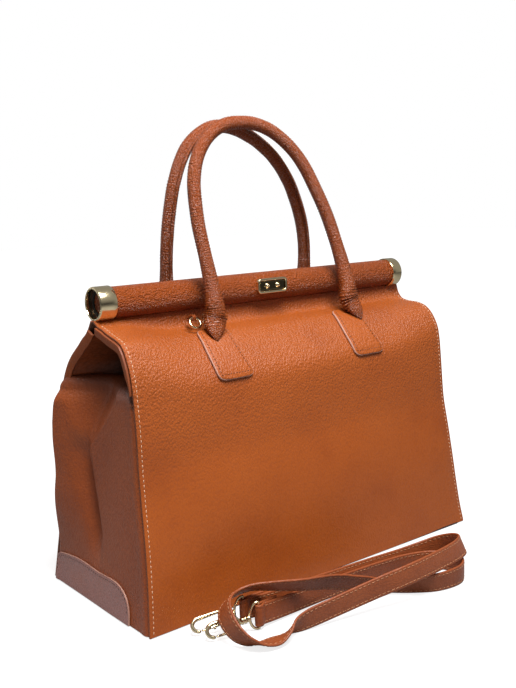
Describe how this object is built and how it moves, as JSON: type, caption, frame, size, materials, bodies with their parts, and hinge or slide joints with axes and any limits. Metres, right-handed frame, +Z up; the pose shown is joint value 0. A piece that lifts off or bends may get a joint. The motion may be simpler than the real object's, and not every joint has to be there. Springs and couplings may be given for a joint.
{
  "type": "handbag",
  "caption": "Structured leather handbag closed by a split metal-ended tube, with rolled top handles, folding gussets and a loose shoulder strap with snap hooks.",
  "frame": {"origin": "middle of the underside of the base, on the ground", "axes": "+X along the closing tube towards the right end seen from the front, +Y from the front with the lock towards the back, +Z up"},
  "size_m": [0.3808, 0.2624, 0.4097],
  "materials": {
    "tan_leather": "pebbled, satin",
    "dark_leather": "smooth, satin",
    "strap_leather": "smooth, satin",
    "gold_metal": "polished pale gold",
    "steel": "plain",
    "board": "pressed fibre board"
  },
  "bodies": {
    "bag": {"base_panel": "dark_leather", "base_board": "board", "front_panel": "tan_leather", "back_panel": "tan_leather", "left_gusset": "tan_leather", "right_gusset": "tan_leather", "left_gusset_patch": "dark_leather", "right_gusset_patch": "dark_leather", "front_left_gusset_fold": "dark_leather", "front_right_gusset_fold": "dark_leather", "back_left_gusset_fold": "dark_leather", "back_right_gusset_fold": "dark_leather"},
    "front_flap": {"front_flap_panel": "tan_leather", "front_tube_core": "steel", "front_tube_cover": "tan_leather", "front_left_magnet": "steel", "front_right_magnet": "steel", "front_left_end_ring": "gold_metal", "front_right_end_ring": "gold_metal", "front_left_binding": "dark_leather", "front_right_binding": "dark_leather", "front_left_tab": "tan_leather", "front_right_tab": "tan_leather", "left_ring_loop": "dark_leather", "lock_frame": "gold_metal"},
    "back_flap": {"back_flap_panel": "tan_leather", "back_tube_core": "steel", "back_tube_cover": "tan_leather", "back_left_magnet": "steel", "back_right_magnet": "steel", "back_left_end_ring": "gold_metal", "back_right_end_ring": "gold_metal", "back_left_binding": "dark_leather", "back_right_binding": "dark_leather", "back_left_tab": "tan_leather", "back_right_tab": "tan_leather", "right_ring_loop": "dark_leather"},
    "front_handle": {"front_handle": "tan_leather"},
    "back_handle": {"back_handle": "tan_leather"},
    "lock": {"lock_button": "gold_metal", "left_lock_stud": "gold_metal", "right_lock_stud": "gold_metal"},
    "left_ring": {"left_strap_ring": "gold_metal"},
    "right_ring": {"right_strap_ring": "gold_metal"},
    "strap": {"strap_band": "strap_leather", "strap_end_a": "strap_leather", "strap_end_b": "strap_leather", "hook_a_eye": "gold_metal", "hook_b_eye": "gold_metal"},
    "hook_a": {"hook_a": "gold_metal"},
    "gate_a": {"hook_a_gate": "gold_metal"},
    "hook_b": {"hook_b": "gold_metal"},
    "gate_b": {"hook_b_gate": "gold_metal"}
  },
  "joints": [
    {"name": "front_flap_hinge", "type": "hinge", "parent": "bag", "child": "front_flap", "pos_m": [0, -0.06017, 0.186], "axis": [1, 0, 0], "range_deg": [0, 55], "deforming": ["front_left_gusset_fold", "front_right_gusset_fold"]},
    {"name": "back_flap_hinge", "type": "hinge", "parent": "bag", "child": "back_flap", "pos_m": [0, 0.06017, 0.186], "axis": [-1, 0, 0], "range_deg": [0, 55], "deforming": ["back_left_gusset_fold", "back_right_gusset_fold"]},
    {"name": "front_handle_hinge", "type": "hinge", "parent": "front_flap", "child": "front_handle", "pos_m": [0, -0.04069, 0.2314], "axis": [1, 0, 0], "range_deg": [0, 110]},
    {"name": "back_handle_hinge", "type": "hinge", "parent": "back_flap", "child": "back_handle", "pos_m": [0, 0.04069, 0.2314], "axis": [-1, 0, 0], "range_deg": [0, 110]},
    {"name": "lock_press", "type": "slide", "parent": "front_flap", "child": "lock", "axis": [0, 1, 0], "range_m": [0, 0.0009], "stiffness_N_per_m": 600, "springref_m": -0.002},
    {"name": "left_ring_swing", "type": "hinge", "parent": "front_flap", "child": "left_ring", "pos_m": [-0.096, -0.0185, 0.2365], "axis": [-1, 0, 0], "range_deg": [0, 90]},
    {"name": "right_ring_swing", "type": "hinge", "parent": "back_flap", "child": "right_ring", "pos_m": [0.096, 0.0185, 0.2365], "axis": [1, 0, 0], "range_deg": [0, 90]},
    {"name": "strap_lift", "type": "slide", "parent": "bag", "child": "strap", "axis": [0, 0, 1], "range_m": [0, 0.3]},
    {"name": "hook_a_swivel", "type": "hinge", "parent": "strap", "child": "hook_a", "pos_m": [-0.12836, -0.10777, 0.01094], "axis": [-0.9593, 0.2525, -0.1262], "continuous": true},
    {"name": "hook_a_gate", "type": "hinge", "parent": "hook_a", "child": "gate_a", "pos_m": [-0.1406, -0.10965, 0.00949], "axis": [0.1221, -0.0321, -0.992], "range_deg": [0, 30], "stiffness_Nm_per_rad": 0.02, "springref_deg": -22.92},
    {"name": "hook_b_swivel", "type": "hinge", "parent": "strap", "child": "hook_b", "pos_m": [-0.12532, -0.12363, 0.01095], "axis": [-0.956, 0.2653, -0.1251], "continuous": true},
    {"name": "hook_b_gate", "type": "hinge", "parent": "hook_b", "child": "gate_b", "pos_m": [-0.13759, -0.12535, 0.00952], "axis": [0.1206, -0.0335, -0.9921], "range_deg": [0, 30], "stiffness_Nm_per_rad": 0.02, "springref_deg": -22.92}
  ]
}
